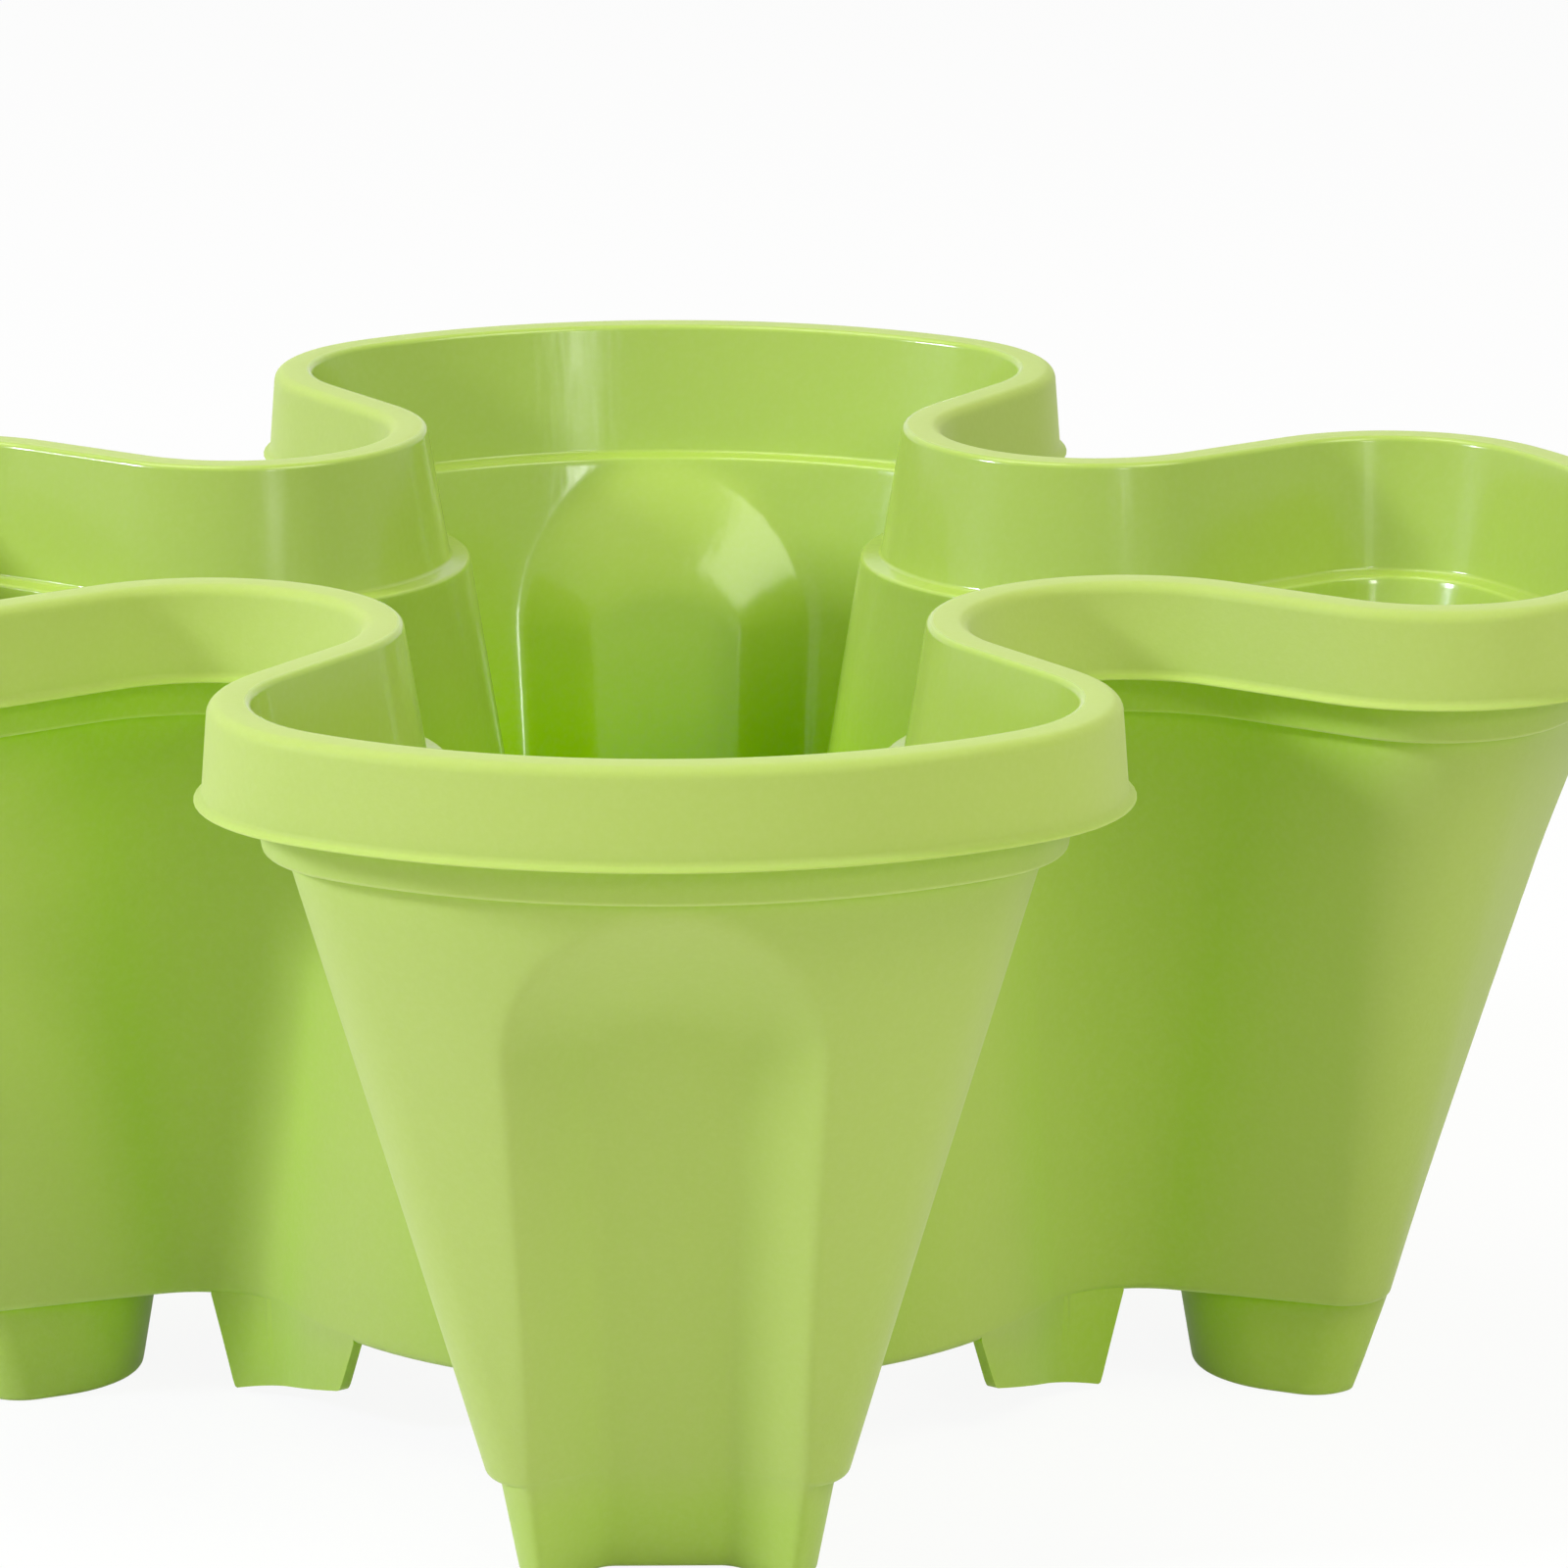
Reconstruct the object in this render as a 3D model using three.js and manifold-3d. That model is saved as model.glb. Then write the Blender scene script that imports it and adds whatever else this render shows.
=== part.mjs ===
// One tier of a stacking garden planter: a four-lobed tub moulded in one piece, with a drain grid that
// lifts out of its floor. Millimetres, +Z up. The origin is on the ground, under the middle of the tub.
import * as THREE from 'three';
import { mergeVertices } from 'three/addons/utils/BufferGeometryUtils.js';
import Module from 'manifold-3d';

const wasm = await Module();
wasm.setup();

// Outline over the rim. Each lobe is a flat-ended arc with round corners, and a valley arc joins two lobes.
const LOBE_WIDTH = 140;
const TIP_RADIUS = 168.5;
const CORNER_RADIUS = 32;
const END_RADIUS = 98;
const VALLEY_RADIUS = 26;
const VALLEY_CENTRE = 74;

// Outline at the ledge, where the tub stands on the rim of the tier below: a round base with narrow lobes.
const BASE_RADIUS = 69.2;
const NECK_WIDTH = 36;
const LEDGE_FILLET = 17.5;
const LEDGE_LOBE_WIDTH = 56.8;
const LEDGE_LOBE_REACH = 54.6;
const LEDGE_CORNER_RADIUS = 8;
const LEDGE_END_RADIUS = 84;

// Heights above the ground.
const TIER_HEIGHT = 146;
const LEDGE_HEIGHT = 17;

// Walls.
const WALL = 2.2;
const FLOOR = 2.5;

// Section of the rim: a flat top, a flared skirt that turns down outside it, and a band inside the skirt
// that steps in to the wall at the shoulder. Insets are measured inwards from the outline over the rim,
// depths downwards from its top.
const RIM_TOP_WIDTH = 6.6;
const RIM_EDGE = 1.1;
const SKIRT_DEPTH = 16.4;
const SKIRT_FLARE = 2.3;
const BEAD_HEIGHT = 3.4;
const BEAD_STEP = 1.1;
const SHOULDER_DEPTH = 23.3;
const SHOULDER_EDGE = 0.8;
const WALL_TOP_DEPTH = 23.9;
const INNER_LEDGE_DEPTH = 22.2;
const BAND_INSET = 8.2;
const WALL_INSET = 11.8;

// Flute in the outer end of each lobe: an arch-topped hollow with sloping sides and a flat floor.
const FLUTE_DEPTH = 10.2;
const FLUTE_EDGE_DEPTH = 3.4;
const FLUTE_ARCH_DEPTH = 26.6;
const FLUTE_SPRING_DEPTH = 52;
const FLUTE_WIDTH = 52;
const FLUTE_WIDTH_AT_FOOT = 38;
const FLUTE_FLOOR_WIDTH = 23;
const FLUTE_FLOOR_WIDTH_AT_FOOT = 19;
const FLUTE_FLOOR_ARCH = 7;
const FLUTE_FLOOR_EASE = 0.8;
const FLUTE_FLOOR_EASE_WIDTH = 2;
const FLUTE_SKIN_SHARE = 0.25;

// Hollow foot under each lobe, inside the valley of the rim below.
const FOOT_STEP = 2;
const FOOT_END_STEP = 0.25;
const FOOT_TAPER = 2.9;
const FOOT_LENGTH = 37.5;
const FOOT_INNER_CORNER = 20;
const FOOT_INNER_FLAT = 5;
const FOOT_INSIDE_CORNER = 2.2;
const FOOT_DRAIN_RADIUS = 3;
const FOOT_DRAIN_SPACING = 24;

// Locating lugs that hang under the base beside the left and right lobes, inside the rim below.
const LUG_THICKNESS = 2;
const LUG_DROP_AT_VALLEY = 9.1;
const LUG_DROP_AT_NECK = 16.2;
const LUG_SIDE_TAPER = 3.9;
const LUG_VALLEY_GAP = 4.5;
const LUG_NECK_GAP = 8.4;
const LUG_SET_BACK = 0.25;
const LUG_LOBES = [1, 3];

// Drain opening in the floor, and the grid that lies over it inside a low collar.
const DRAIN_RADIUS = 44;
const GRID_RADIUS = 50;
const GRID_THICKNESS = 2.4;
const GRID_CLEARANCE = 0.6;
const REST_GAP = 0.3;
const COLLAR_WIDTH = 1.8;
const COLLAR_HEIGHT = 3;
const SLOT_WIDTH = 4;
const SLOT_RING_RADIUS = 16.5;
const SLOT_RING_PITCH = 10;
const SLOT_RINGS = 3;
const SLOTS_PER_RING = 8;
const SLOT_BAR = 4;
const KNOB_RADIUS = 7;
const KNOB_WAIST_RADIUS = 5;
const KNOB_HEIGHT = 9;

const OVERRUN = 5;
const LOBES = 4;

// Facets along one half lobe, from the middle of a valley to the lobe's tip.
const VALLEY_STEPS = 8;
const BASE_STEPS = 2;
const CORNER_STEPS = 6;
const END_STEPS = 5;
const ARCH_STEPS = 14;
const ROUND_STEPS = 48;
const HOLE_STEPS = 12;
const SLOT_STEPS = 4;

const LIME = { color: 0x9cc452, roughness: 0.55, metalness: 0 };

const { lerp, radToDeg } = THREE.MathUtils;
const turn = Math.PI * 2;
const valleyAngle = turn / LOBES / 2;

// Distances from the middle to a lobe's tip at the ledge, and to the inner end of the foot under it.
const ledgeTipRadius = BASE_RADIUS + LEDGE_LOBE_REACH;
const footInnerRadius = ledgeTipRadius - FOOT_LENGTH;

// Points with outward normals along an arc, from angle a to angle b. A hollow arc's normals point to its
// centre.
function arc(centre, radius, a, b, steps, hollow = false) {
  const points = [];
  for (let i = 0; i <= steps; i++) {
    const angle = a + ((b - a) * i) / steps;
    const out = new THREE.Vector2(Math.cos(angle), Math.sin(angle));
    const at = centre.clone().addScaledVector(out, radius);
    points.push({ at, normal: hollow ? out.negate() : out });
  }
  return points;
}

// Angle on the corner circle at which the straight flank from the valley circle meets it.
function flankAngle(corner, cornerRadius, valley, valleyRadius) {
  const across = valley.clone().sub(corner);
  const share = Math.min(1, (cornerRadius + valleyRadius) / across.length());
  return across.angle() + Math.acos(share) - turn;
}

// Half a lobe pointing along +Y, from the valley to the tip, as points with outward normals.
function halfLobe(size, valleyStretch) {
  const end = new THREE.Vector2(0, size.tip - size.endRadius);
  const side = size.width / 2 - size.cornerRadius;
  const reach = size.endRadius - size.cornerRadius;
  const corner = new THREE.Vector2(side, end.y + Math.sqrt(Math.max(0, reach * reach - side * side)));
  const flank = flankAngle(corner, size.cornerRadius, size.valley, size.valleyRadius);
  const bend = corner.clone().sub(end).angle();
  return [
    ...valleyStretch(flank),
    ...arc(corner, size.cornerRadius, flank, bend, CORNER_STEPS),
    ...arc(end, size.endRadius, bend, turn / 4, END_STEPS).slice(1),
  ];
}

// Outline over the rim: the valley arc runs from the valley's middle to the flank.
const rimSize = {
  tip: TIP_RADIUS,
  width: LOBE_WIDTH,
  cornerRadius: CORNER_RADIUS,
  endRadius: END_RADIUS,
  valleyRadius: VALLEY_RADIUS,
  valley: new THREE.Vector2(VALLEY_CENTRE, VALLEY_CENTRE),
};
const rimHalf = halfLobe(rimSize, (flank) =>
  arc(rimSize.valley, VALLEY_RADIUS, valleyAngle + turn / 2, flank + turn / 2, VALLEY_STEPS, true));

// Outline at the ledge: a stretch of the round base, then a fillet into the lobe's flank.
const filletX = NECK_WIDTH / 2 + LEDGE_FILLET;
const filletY = Math.sqrt((BASE_RADIUS + LEDGE_FILLET) ** 2 - filletX ** 2);
const ledgeSize = {
  tip: ledgeTipRadius,
  width: LEDGE_LOBE_WIDTH,
  cornerRadius: LEDGE_CORNER_RADIUS,
  endRadius: LEDGE_END_RADIUS,
  valleyRadius: LEDGE_FILLET,
  valley: new THREE.Vector2(filletX, filletY),
};
const ledgeHalf = halfLobe(ledgeSize, (flank) => {
  const meet = ledgeSize.valley.angle();
  return [
    ...arc(new THREE.Vector2(), BASE_RADIUS, valleyAngle, meet, BASE_STEPS),
    ...arc(
      ledgeSize.valley, LEDGE_FILLET, meet + turn / 2, flank + turn / 2, VALLEY_STEPS - BASE_STEPS, true,
    ).slice(1),
  ];
});

// Between the shoulder and the ledge the wall is straight from one outline to the other, and its taper runs
// on below the ledge.
const wallTop = TIER_HEIGHT - WALL_TOP_DEPTH;
const ledgeShare = (z) => (wallTop - z) / (wallTop - LEDGE_HEIGHT);

// Half a lobe of the wall at height z, set in from its outer face by inset.
function wallHalf(z, inset) {
  const share = ledgeShare(z);
  return rimHalf.map((top, i) => {
    const low = ledgeHalf[i];
    const upper = top.at.clone().addScaledVector(top.normal, -WALL_INSET - inset);
    const lower = low.at.clone().addScaledVector(low.normal, -inset);
    return upper.lerp(lower, share);
  });
}

// Half a lobe of the rim, set in from the outline over the rim by inset.
const rimHalfAt = (inset) => rimHalf.map(({ at, normal }) => at.clone().addScaledVector(normal, -inset));

// Distance of a lobe's tip from the middle, for the wall and for the foot below it.
const tipAt = (z) => lerp(TIP_RADIUS - WALL_INSET, ledgeTipRadius, ledgeShare(z));

// A whole outline as a ring of points at height z, from half of one lobe.
function ring(half, z) {
  const lobe = [...half, ...half.slice(1, -1).reverse().map((p) => new THREE.Vector2(-p.x, p.y))];
  const points = [];
  for (let k = 0; k < LOBES; k++) {
    for (const p of lobe) {
      const q = p.clone().rotateAround(new THREE.Vector2(), (turn * k) / LOBES);
      points.push(new THREE.Vector3(q.x, q.y, z));
    }
  }
  return points;
}

const rimRing = (inset, drop) => ring(rimHalfAt(inset), TIER_HEIGHT - drop);
const wallRing = (z, inset = 0) => ring(wallHalf(z, inset), z);

// A closed solid through rings of equal length, each counter-clockwise, with the first and last ring
// capped. flat turns a point of a ring into the plane in which its caps are filled.
function loft(rings, flat = (p) => new THREE.Vector2(p.x, p.y)) {
  const count = rings[0].length;
  const positions = rings.flat().flatMap((p) => [p.x, p.y, p.z]);
  const indices = [];
  for (let r = 0; r + 1 < rings.length; r++) {
    for (let i = 0; i < count; i++) {
      const a = r * count + i;
      const b = r * count + ((i + 1) % count);
      indices.push(a, b, b + count, a, b + count, a + count);
    }
  }
  const last = (rings.length - 1) * count;
  for (const [a, b, c] of THREE.ShapeUtils.triangulateShape(rings[0].map(flat), [])) indices.push(a, c, b);
  for (const [a, b, c] of THREE.ShapeUtils.triangulateShape(rings.at(-1).map(flat), [])) {
    indices.push(last + a, last + b, last + c);
  }
  return new wasm.Manifold(new wasm.Mesh({
    numProp: 3,
    vertProperties: new Float32Array(positions),
    triVerts: new Uint32Array(indices),
  }));
}

function solidOf(geometry) {
  geometry.deleteAttribute('normal');
  geometry.deleteAttribute('uv');
  const merged = mergeVertices(geometry);
  return new wasm.Manifold(new wasm.Mesh({
    numProp: 3,
    vertProperties: new Float32Array(merged.attributes.position.array),
    triVerts: new Uint32Array(merged.index.array),
  }));
}

function geometryOf(solid) {
  const { vertProperties, triVerts } = solid.getMesh();
  const geometry = new THREE.BufferGeometry();
  geometry.setAttribute('position', new THREE.BufferAttribute(vertProperties, 3));
  geometry.setIndex(new THREE.BufferAttribute(triVerts, 1));
  geometry.computeVertexNormals();
  return geometry;
}

// An upright cylinder from height low to height high.
function post(radius, low, high, steps = ROUND_STEPS) {
  const geometry = new THREE.CylinderGeometry(radius, radius, high - low, steps);
  geometry.rotateX(turn / 4);
  geometry.translate(0, 0, (low + high) / 2);
  return solidOf(geometry);
}

const quarterTurned = (solid, k) => solid.rotate([0, 0, radToDeg((turn * k) / LOBES)]);
const aroundLobes = (solid) => Array.from({ length: LOBES }, (_, k) => quarterTurned(solid, k));
const joined = (solids) => solids.reduce((whole, solid) => whole.add(solid));

// The tub's skin as one section carried round the outlines: up the outside of the wall, round the skirt and
// over the rim, then down the inside to the floor.
function tub() {
  const bandTop = RIM_TOP_WIDTH - WALL;
  const beadTop = SKIRT_DEPTH - BEAD_HEIGHT;
  const middle = (wallTop + LEDGE_HEIGHT) / 2;
  const floorTop = LEDGE_HEIGHT + FLOOR;
  return loft([
    wallRing(LEDGE_HEIGHT),
    wallRing(middle),
    wallRing(wallTop),
    rimRing(BAND_INSET + SHOULDER_EDGE, SHOULDER_DEPTH),
    rimRing(BAND_INSET, SHOULDER_DEPTH - SHOULDER_EDGE),
    rimRing(bandTop, WALL),
    rimRing(WALL, WALL),
    rimRing(WALL - SKIRT_FLARE + BEAD_STEP, beadTop),
    rimRing(WALL - SKIRT_FLARE, SKIRT_DEPTH),
    rimRing(BEAD_STEP / 2 - SKIRT_FLARE, SKIRT_DEPTH),
    rimRing(-SKIRT_FLARE, SKIRT_DEPTH - BEAD_STEP),
    rimRing(BEAD_STEP - SKIRT_FLARE, beadTop),
    rimRing(0, RIM_EDGE),
    rimRing(RIM_EDGE, 0),
    rimRing(RIM_TOP_WIDTH - RIM_EDGE, 0),
    rimRing(RIM_TOP_WIDTH, RIM_EDGE),
    rimRing(BAND_INSET + WALL, SHOULDER_DEPTH - WALL),
    wallRing(TIER_HEIGHT - INNER_LEDGE_DEPTH, WALL),
    wallRing(middle, WALL),
    wallRing(floorTop, WALL),
  ]);
}

// One half of a foot's outline along +Y: round inner corner, flank, round outer corner and end.
function footHalf(z, inset) {
  const lean = (FOOT_TAPER * (LEDGE_HEIGHT - z)) / LEDGE_HEIGHT;
  const endRadius = LEDGE_END_RADIUS - inset;
  const cornerRadius = Math.max(LEDGE_CORNER_RADIUS - inset, FOOT_INSIDE_CORNER);
  const innerRadius = FOOT_INNER_CORNER - inset;
  const end = new THREE.Vector2(0, tipAt(z) - FOOT_END_STEP - inset - endRadius);
  const side = LEDGE_LOBE_WIDTH / 2 - FOOT_STEP - lean - inset - cornerRadius;
  const reach = endRadius - cornerRadius;
  const corner = new THREE.Vector2(side, end.y + Math.sqrt(reach * reach - side * side));
  const inner = new THREE.Vector2(FOOT_INNER_FLAT / 2, footInnerRadius + lean + FOOT_INNER_CORNER);
  const across = corner.clone().sub(inner);
  const flank = Math.atan2(across.y, across.x) - Math.acos((innerRadius - cornerRadius) / across.length());
  const bend = corner.clone().sub(end).angle();
  return [
    ...arc(inner, innerRadius, -turn / 4, flank, CORNER_STEPS),
    ...arc(corner, cornerRadius, flank, bend, CORNER_STEPS),
    ...arc(end, endRadius, bend, turn / 4, END_STEPS).slice(1),
  ].map(({ at }) => at);
}

function footRing(z, inset = 0) {
  const half = footHalf(z, inset);
  const whole = [...half, ...half.slice(0, -1).reverse().map((p) => new THREE.Vector2(-p.x, p.y))];
  return whole.map((p) => new THREE.Vector3(p.x, p.y, z));
}

const foot = (inset, low, high) => loft([footRing(low, inset), footRing(high, inset)]);

// The hollow of a flute as a solid, in sections at growing depth below the line of the lobe's tip. For the
// wall that follows the hollow inside, the same solid grows by skin.
function flute(skin) {
  const spring = TIER_HEIGHT - FLUTE_SPRING_DEPTH;
  const rise = FLUTE_SPRING_DEPTH - FLUTE_ARCH_DEPTH;
  const grown = skin * FLUTE_SKIN_SHARE;
  const section = (depth, ease) => {
    const share = (depth - FLUTE_EDGE_DEPTH) / (FLUTE_DEPTH - FLUTE_EDGE_DEPTH);
    const change = grown - ease;
    const half = lerp(FLUTE_WIDTH, FLUTE_FLOOR_WIDTH, share) / 2 + change;
    const foot = lerp(FLUTE_WIDTH_AT_FOOT, FLUTE_FLOOR_WIDTH_AT_FOOT, share) / 2 + change;
    const height = lerp(rise, FLUTE_FLOOR_ARCH, Math.max(0, depth / FLUTE_DEPTH)) + change;
    const outline = [[foot, -OVERRUN]];
    for (let i = 0; i <= ARCH_STEPS; i++) {
      const angle = (turn * i) / ARCH_STEPS / 2;
      outline.push([half * Math.cos(angle), spring + height * Math.sin(angle)]);
    }
    outline.push([-foot, -OVERRUN]);
    return outline.map(([x, z]) => new THREE.Vector3(x, tipAt(z) - depth - skin, z));
  };
  return loft([
    section(-OVERRUN, 0),
    section(0, 0),
    section(FLUTE_DEPTH - FLUTE_FLOOR_EASE, 0),
    section(FLUTE_DEPTH, FLUTE_FLOOR_EASE_WIDTH),
  ], (p) => new THREE.Vector2(p.x, p.z));
}

// A lug beside one lobe: it follows the base's outline from the valley towards the neck, deeper at the
// neck, with slanting ends.
function lug() {
  const path = ledgeHalf.slice(0, VALLEY_STEPS + 1);
  const lengths = [0];
  for (let i = 1; i < path.length; i++) lengths.push(lengths[i - 1] + path[i].at.distanceTo(path[i - 1].at));
  const stop = lengths.at(-1) - LUG_NECK_GAP;
  const top = LEDGE_HEIGHT + FLOOR / 2;
  const section = (length, drop) => {
    const i = Math.max(1, lengths.findIndex((l) => l >= length));
    const share = (length - lengths[i - 1]) / (lengths[i] - lengths[i - 1]);
    const at = path[i - 1].at.clone().lerp(path[i].at, share);
    const normal = path[i - 1].normal.clone().lerp(path[i].normal, share).normalize();
    const face = at.clone().addScaledVector(normal, -LUG_SET_BACK);
    const back = at.clone().addScaledVector(normal, -LUG_SET_BACK - LUG_THICKNESS);
    const low = LEDGE_HEIGHT - drop;
    return [
      new THREE.Vector3(back.x, back.y, low),
      new THREE.Vector3(back.x, back.y, top),
      new THREE.Vector3(face.x, face.y, top),
      new THREE.Vector3(face.x, face.y, low),
    ];
  };
  const sections = [section(LUG_VALLEY_GAP, 0)];
  for (let i = 0; i <= VALLEY_STEPS; i++) {
    const share = i / VALLEY_STEPS;
    const length = lerp(LUG_VALLEY_GAP + LUG_SIDE_TAPER, stop - LUG_SIDE_TAPER, share);
    sections.push(section(length, lerp(LUG_DROP_AT_VALLEY, LUG_DROP_AT_NECK, share)));
  }
  sections.push(section(stop, 0));
  return loft(sections, (p) => new THREE.Vector2(p.z, Math.hypot(p.x, p.y)));
}

function planterTier() {
  const half = WALL / 2;
  const core = loft([wallRing(LEDGE_HEIGHT + half, half), wallRing(wallTop, half)])
    .add(joined(aroundLobes(foot(half, half, LEDGE_HEIGHT + FLOOR))));
  const bulges = joined(aroundLobes(flute(WALL))).intersect(core);
  const feet = joined(aroundLobes(foot(0, 0, LEDGE_HEIGHT + FLOOR / 2)));
  const pockets = joined(aroundLobes(foot(WALL, WALL, LEDGE_HEIGHT + FLOOR + half)));
  const beside = lug();
  const mirrored = beside.mirror([1, 0, 0]);
  const lugs = joined(LUG_LOBES.flatMap((k) => [quarterTurned(beside, k), quarterTurned(mirrored, k)]));
  const floorTop = LEDGE_HEIGHT + FLOOR;
  const collarRadius = GRID_RADIUS + GRID_CLEARANCE;
  const collar = post(collarRadius + COLLAR_WIDTH, LEDGE_HEIGHT + FLOOR / 2, floorTop + COLLAR_HEIGHT)
    .subtract(post(collarRadius, 0, TIER_HEIGHT));
  const drainRow = (footInnerRadius + ledgeTipRadius - FLUTE_DEPTH) / 2 - FOOT_TAPER;
  const drain = post(FOOT_DRAIN_RADIUS, -OVERRUN, WALL + OVERRUN, HOLE_STEPS);
  const drains = joined([-1, 1].flatMap((side) =>
    aroundLobes(drain.translate([(side * FOOT_DRAIN_SPACING) / 2, drainRow, 0]))));
  return tub()
    .add(feet)
    .subtract(pockets)
    .add(lugs)
    .add(bulges)
    .subtract(joined(aroundLobes(flute(0))))
    .add(collar)
    .subtract(post(DRAIN_RADIUS, -OVERRUN, TIER_HEIGHT / 2))
    .subtract(drains);
}

// Curved drain slots in rings, more of them in each ring outwards, with a waisted knob in the middle.
function drainGrid() {
  const bottom = LEDGE_HEIGHT + FLOOR + REST_GAP;
  const top = bottom + GRID_THICKNESS;
  let grid = post(GRID_RADIUS, bottom, top);
  for (let row = 0; row < SLOT_RINGS; row++) {
    const radius = SLOT_RING_RADIUS + row * SLOT_RING_PITCH;
    const sweep = turn / SLOTS_PER_RING - SLOT_BAR / radius;
    for (let i = 0; i < SLOTS_PER_RING; i++) {
      const start = (turn * i) / SLOTS_PER_RING - sweep / 2;
      const shape = new THREE.Shape();
      shape.absarc(0, 0, radius + SLOT_WIDTH / 2, start, start + sweep, false);
      shape.absarc(0, 0, radius - SLOT_WIDTH / 2, start + sweep, start, true);
      shape.closePath();
      const cut = new THREE.ExtrudeGeometry(shape, {
        depth: GRID_THICKNESS + OVERRUN,
        bevelEnabled: false,
        curveSegments: SLOT_STEPS,
      });
      cut.translate(0, 0, bottom - OVERRUN / 2);
      grid = grid.subtract(solidOf(cut));
    }
  }
  const knob = new THREE.LatheGeometry([
    new THREE.Vector2(0, 0),
    new THREE.Vector2(KNOB_RADIUS, 0),
    new THREE.Vector2(KNOB_WAIST_RADIUS, KNOB_HEIGHT / 2),
    new THREE.Vector2(KNOB_RADIUS, KNOB_HEIGHT),
    new THREE.Vector2(0, KNOB_HEIGHT),
  ], ROUND_STEPS / 2);
  knob.rotateX(turn / 4);
  knob.translate(0, 0, top - GRID_THICKNESS / 2);
  return grid.add(solidOf(knob));
}

function named(name, solid) {
  const mesh = new THREE.Mesh(geometryOf(solid), new THREE.MeshStandardMaterial(LIME));
  mesh.name = name;
  return mesh;
}

const planter = new THREE.Group();
planter.add(named('planter_tier', planterTier()));
planter.add(named('drain_grid', drainGrid()));

export default planter;
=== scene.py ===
import math

import bpy
import numpy as np
from mathutils import Matrix, Vector


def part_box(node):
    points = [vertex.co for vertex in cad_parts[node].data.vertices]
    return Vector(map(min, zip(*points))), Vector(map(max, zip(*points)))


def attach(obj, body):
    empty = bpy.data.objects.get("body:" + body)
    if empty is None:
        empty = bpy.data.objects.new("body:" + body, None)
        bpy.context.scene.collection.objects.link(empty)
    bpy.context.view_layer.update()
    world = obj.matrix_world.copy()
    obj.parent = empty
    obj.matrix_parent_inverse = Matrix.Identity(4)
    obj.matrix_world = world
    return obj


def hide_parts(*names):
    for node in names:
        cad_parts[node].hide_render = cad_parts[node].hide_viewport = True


# Looks of one stacking planter tier: a four-lobed tub of lime plastic, and the drain grid in its floor.
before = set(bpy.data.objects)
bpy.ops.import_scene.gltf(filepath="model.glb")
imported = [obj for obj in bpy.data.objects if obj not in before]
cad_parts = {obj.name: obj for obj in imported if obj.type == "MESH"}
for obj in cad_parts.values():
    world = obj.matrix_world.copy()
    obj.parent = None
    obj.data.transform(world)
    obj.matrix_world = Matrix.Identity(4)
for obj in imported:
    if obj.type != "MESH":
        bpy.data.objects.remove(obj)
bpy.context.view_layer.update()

MM = 0.001

# Driving dimensions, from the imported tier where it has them.
_, tier_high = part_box("planter_tier")
TIER_HEIGHT = tier_high.z
SKIRT_FLARE = 2.3 * MM
TIP_RADIUS = tier_high.x - SKIRT_FLARE

# Outline over the rim.
LOBES = 4
LOBE_WIDTH = 140 * MM
CORNER_RADIUS = 32 * MM
END_RADIUS = 98 * MM
VALLEY_RADIUS = 26 * MM
VALLEY_CENTRE = 74 * MM

# Outline at the ledge above the feet.
BASE_RADIUS = 69.2 * MM
NECK_WIDTH = 36 * MM
LEDGE_FILLET = 17.5 * MM
LEDGE_LOBE_WIDTH = 56.8 * MM
LEDGE_TIP_RADIUS = BASE_RADIUS + 54.6 * MM
LEDGE_CORNER_RADIUS = 8 * MM
LEDGE_END_RADIUS = 84 * MM
LEDGE_HEIGHT = 17 * MM
LEDGE_EASE = 1.6 * MM

# Walls.
WALL = 2.2 * MM
FLOOR = 2.5 * MM

# Section of the rim, as insets from the outline over it and depths below its top.
RIM_TOP_WIDTH = 6.6 * MM
RIM_OUTER_EASE = 1.9 * MM
RIM_INNER_EASE = 0.9 * MM
SKIRT_DEPTH = 15.6 * MM
BEAD_HEIGHT = 1.1 * MM
BEAD_STEP = 1.2 * MM
BEAD_FACE = 0.4 * MM
BEAD_FACE_STEP = 0.05 * MM
BEAD_EASE = 0.2 * MM
BEAD_HOLLOW_EASE = 3 * BEAD_EASE
SHOULDER_DEPTH = 23.5 * MM
SHOULDER_EASE = 0.7 * MM
WALL_TOP_DEPTH = 23.9 * MM
WALL_TOP_EASE = 0.3 * MM
INNER_LEDGE_DEPTH = 23.2 * MM
INNER_LEDGE_SLOPE = 0.3 * MM
INNER_LEDGE_EASE = 0.6 * MM
BAND_INSET = 8.2 * MM
WALL_INSET = 11.8 * MM

# Flute in the outer end of each lobe.
FLUTE_DEPTH = 10.2 * MM
FLUTE_EDGE_DEPTH = 3.4 * MM
FLUTE_ARCH_DEPTH = 26.6 * MM
FLUTE_SPRING_DEPTH = 52 * MM
FLUTE_WIDTH = 52 * MM
FLUTE_WIDTH_AT_FOOT = 38 * MM
FLUTE_FLOOR_WIDTH = 23 * MM
FLUTE_FLOOR_WIDTH_AT_FOOT = 19 * MM
FLUTE_FLOOR_ARCH = 7 * MM
FLUTE_RUN_BELOW = 5 * MM
FLUTE_EASES = (1.1 * MM, 0.9 * MM)
BULGE_EASES = (1.4 * MM, 0.9 * MM)
FLUTE_SKIN_SHARE = 1.2
FLUTE_SOFTENING_SHARE = 0.2
FLUTE_REACH_SHARE = 1.3

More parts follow.
